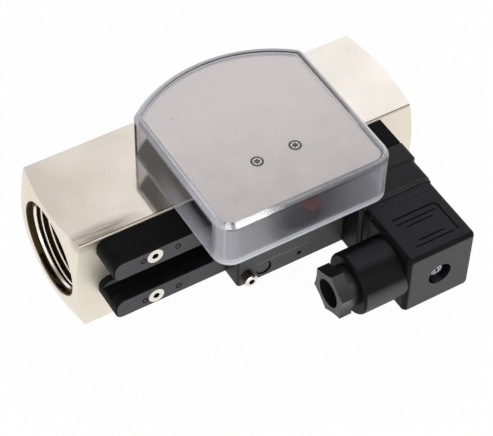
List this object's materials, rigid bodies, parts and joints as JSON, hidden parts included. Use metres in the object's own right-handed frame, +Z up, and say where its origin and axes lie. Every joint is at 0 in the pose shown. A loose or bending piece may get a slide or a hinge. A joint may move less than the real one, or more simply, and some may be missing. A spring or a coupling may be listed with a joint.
{
  "type": "variable area flow meter",
  "caption": "Square metal flow meter with threaded ports, a sprung float, a clear case with a magnet-driven pointer, and a reed switch with a cable plug that slides on rails.",
  "frame": {"origin": "middle of the square body's underside", "axes": "+X along the flow from inlet to outlet, +Z up through the display case, switch and plug towards -Y"},
  "size_m": [0.131, 0.097, 0.0586],
  "materials": {
    "body_nickel": "nickel plated, fine drawn lines",
    "sleeve_brass": "turned",
    "float_steel": "turned stainless steel",
    "magnet_ferrite": "ground dark magnet",
    "spring_steel": "drawn stainless wire",
    "seal_rubber": "moulded",
    "clear_polycarbonate": "clear, glossy moulded",
    "dial_aluminium": "brushed plate",
    "base_aluminium": "milled",
    "pointer_red": "moulded",
    "rail_nylon": "fine grained moulded",
    "switch_nylon": "fine grained moulded",
    "connector_nylon": "fine grained moulded",
    "gasket_rubber": "die cut sheet",
    "contact_brass": "tinned strip",
    "screw_steel": "bright stainless",
    "screw_zinc": "bright zinc plate",
    "board_laminate": "lacquered laminate",
    "reed_glass": "drawn glass tube"
  },
  "bodies": {
    "meter": {"flow_body": "body_nickel", "metering_sleeve": "sleeve_brass", "sleeve_o_ring": "seal_rubber", "inlet_retaining_ring": "spring_steel", "return_spring": "spring_steel", "spring_spider": "sleeve_brass", "outlet_retaining_ring": "spring_steel", "display_base": "base_aluminium", "base_screws": "screw_steel", "pivot_pin": "screw_steel", "dial_plate": "dial_aluminium", "dial_screws": "screw_steel", "display_cover": "clear_polycarbonate", "upper_rail": "rail_nylon", "lower_rail": "rail_nylon", "rail_screws": "screw_steel"},
    "float": {"float_head": "float_steel", "float_magnet": "magnet_ferrite", "float_skirt": "float_steel"},
    "pointer_arm": {"pointer": "pointer_red", "follower_magnet": "magnet_ferrite"},
    "carriage": {"switch_carriage": "switch_nylon", "reed_board": "board_laminate", "reed_capsule": "reed_glass", "switch_lid": "switch_nylon", "blanking_plug": "switch_nylon", "connector_socket": "connector_nylon", "contact_blades": "contact_brass", "flange_gasket": "gasket_rubber"},
    "plug": {"plug_housing": "connector_nylon", "terminal_insert": "connector_nylon", "terminal_screws": "screw_zinc", "screw_seal": "seal_rubber", "gland_seal": "seal_rubber", "gland_washer": "connector_nylon"},
    "plug_screw": {"plug_screw": "screw_zinc"},
    "gland_nut": {"gland_nut": "connector_nylon"},
    "clamp_screw": {"clamp_screw": "screw_steel"}
  },
  "joints": [
    {"name": "float_slide", "type": "slide", "parent": "meter", "child": "float", "axis": [1, 0, 0], "range_m": [0, 0.02], "stiffness_N_per_m": 150, "springref_m": -0.006, "deforming": ["return_spring"]},
    {"name": "pointer_turn", "type": "hinge", "parent": "meter", "child": "pointer_arm", "pos_m": [0.003, -0.0305, 0.0465], "axis": [0, 0, 1], "range_deg": [-38, 0]},
    {"name": "carriage_slide", "type": "slide", "parent": "meter", "child": "carriage", "axis": [1, 0, 0], "range_m": [-0.0405, 0]},
    {"name": "plug_pull", "type": "slide", "parent": "carriage", "child": "plug", "axis": [0, -1, 0], "range_m": [0, 0.02]},
    {"name": "plug_screw_turn", "type": "hinge", "parent": "plug", "child": "plug_screw", "pos_m": [0.0373, -0.06, 0.0258], "axis": [0, -1, 0], "continuous": true},
    {"name": "gland_nut_turn", "type": "hinge", "parent": "plug", "child": "gland_nut", "pos_m": [0.008, -0.0658, 0.0258], "axis": [-1, 0, 0], "continuous": true},
    {"name": "clamp_screw_turn", "type": "hinge", "parent": "carriage", "child": "clamp_screw", "pos_m": [-0.0135, -0.038, 0.0175], "axis": [0, -1, 0], "continuous": true}
  ],
  "couplings": [
    {"joint": "pointer_turn", "follows": "float_slide", "rad_per_m": -32.787}
  ]
}
